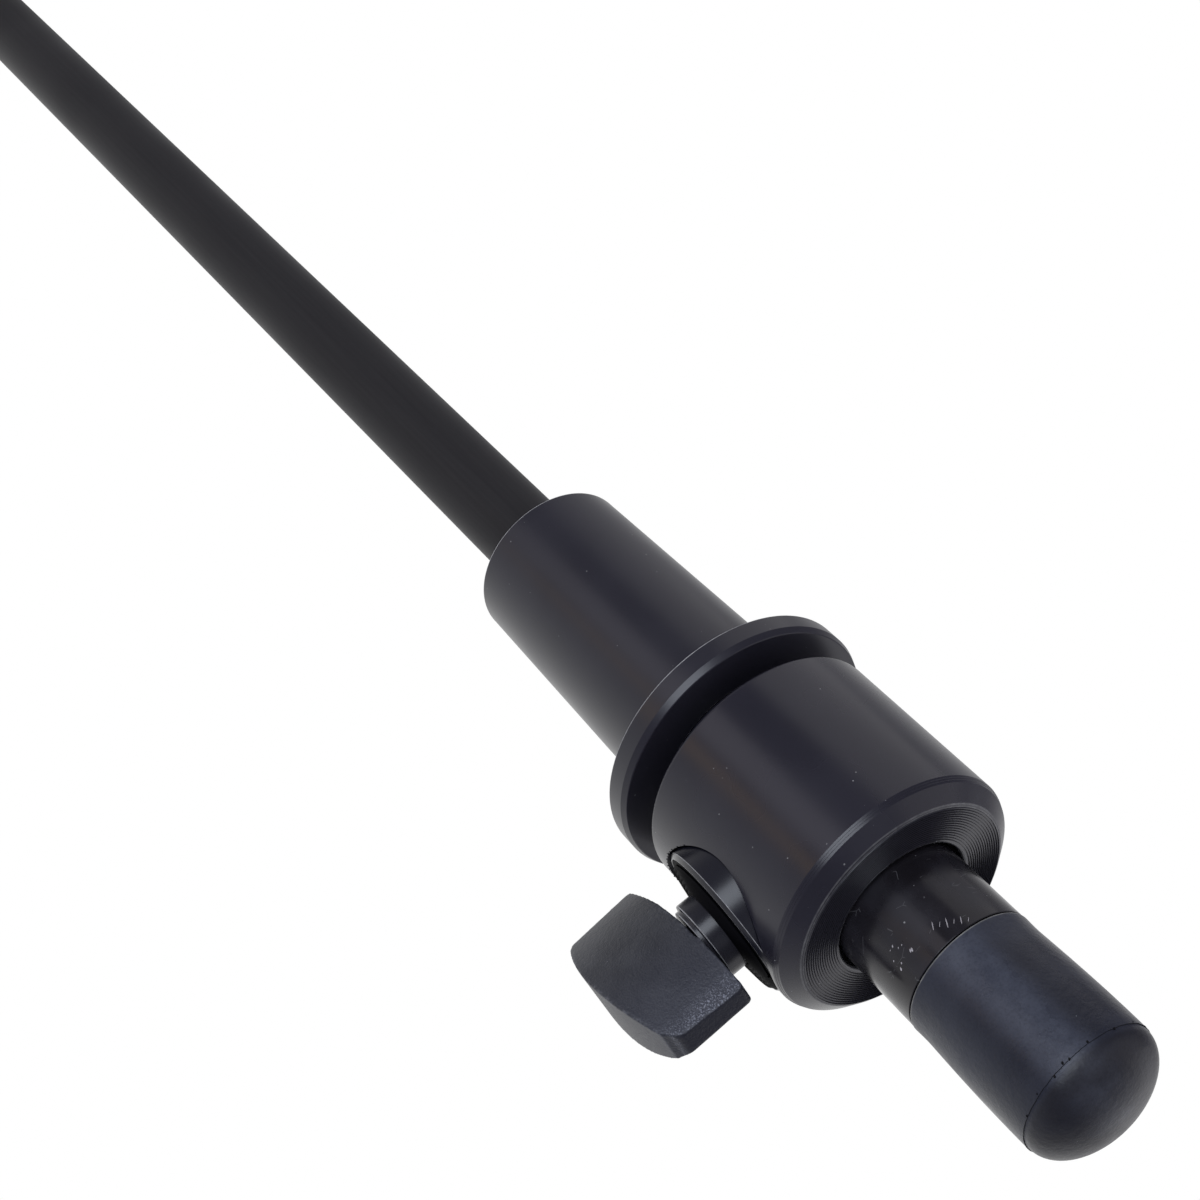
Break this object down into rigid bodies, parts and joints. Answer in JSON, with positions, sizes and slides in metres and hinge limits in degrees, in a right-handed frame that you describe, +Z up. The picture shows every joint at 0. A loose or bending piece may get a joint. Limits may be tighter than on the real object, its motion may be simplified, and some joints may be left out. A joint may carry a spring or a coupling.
{
  "type": "double bass endpin",
  "caption": "Double bass endpin: tapered plug and flange, clamp body with a side wing screw, black carbon rod, ferrule, steel spike and pull-off rubber tip",
  "frame": {"origin": "on the rod's axis, in the plane where the flange rests against the instrument's end block", "axes": "+Z up along the rod into the instrument, the rubber tip is at the -Z end; +X is the axis of the clamp screw, out of the body; +Y completes the right-handed frame"},
  "size_m": [0.068, 0.048, 0.4839],
  "materials": {
    "plug_anodised": "black anodised, turned, satin",
    "body_anodised": "black anodised, turned, satin, with turning rings on the front face",
    "bush_nylon": "black nylon",
    "ring_rubber": "smooth black rubber",
    "nut_black_steel": "black plated steel, turned, glossy",
    "pad_nylon": "natural nylon",
    "stud_black_steel": "black plated steel, glossy",
    "wing_moulded": "black glass-filled plastic, fine grain",
    "rod_carbon": "ground carbon fibre tube, satin",
    "cap_plastic": "black plastic",
    "ferrule_gloss_black": "glossy black over metal, scuffed",
    "spike_steel": "bare turned steel",
    "tip_rubber": "matte black rubber with a moulding line"
  },
  "bodies": {
    "housing": {"end_plug": "plug_anodised", "clamp_body": "body_anodised", "upper_bush": "bush_nylon", "lower_bush": "bush_nylon", "rattle_ring": "ring_rubber", "clamp_nut": "nut_black_steel"},
    "rod_unit": {"carbon_rod": "rod_carbon", "rod_cap": "cap_plastic", "tip_ferrule": "ferrule_gloss_black", "tip_spike": "spike_steel"},
    "pad": {"pressure_pad": "pad_nylon"},
    "thumb_screw": {"thumb_stud": "stud_black_steel", "wing_head": "wing_moulded"},
    "tip": {"rubber_tip": "tip_rubber", "tip_disc": "spike_steel"}
  },
  "joints": [
    {"name": "rod_slide", "type": "slide", "parent": "housing", "child": "rod_unit", "axis": [0, 0, -1], "range_m": [0, 0.3]},
    {"name": "pad_travel", "type": "slide", "parent": "housing", "child": "pad", "axis": [1, 0, 0], "range_m": [0, 0.0026]},
    {"name": "screw_turn", "type": "hinge", "parent": "pad", "child": "thumb_screw", "pos_m": [0, 0, -0.0274], "axis": [1, 0, 0], "range_deg": [0, 720]},
    {"name": "tip_pull", "type": "slide", "parent": "rod_unit", "child": "tip", "axis": [0, 0, -1], "range_m": [0, 0.03]}
  ],
  "couplings": [
    {"joint": "pad_travel", "follows": "screw_turn", "m_per_rad": 0.00019894}
  ]
}
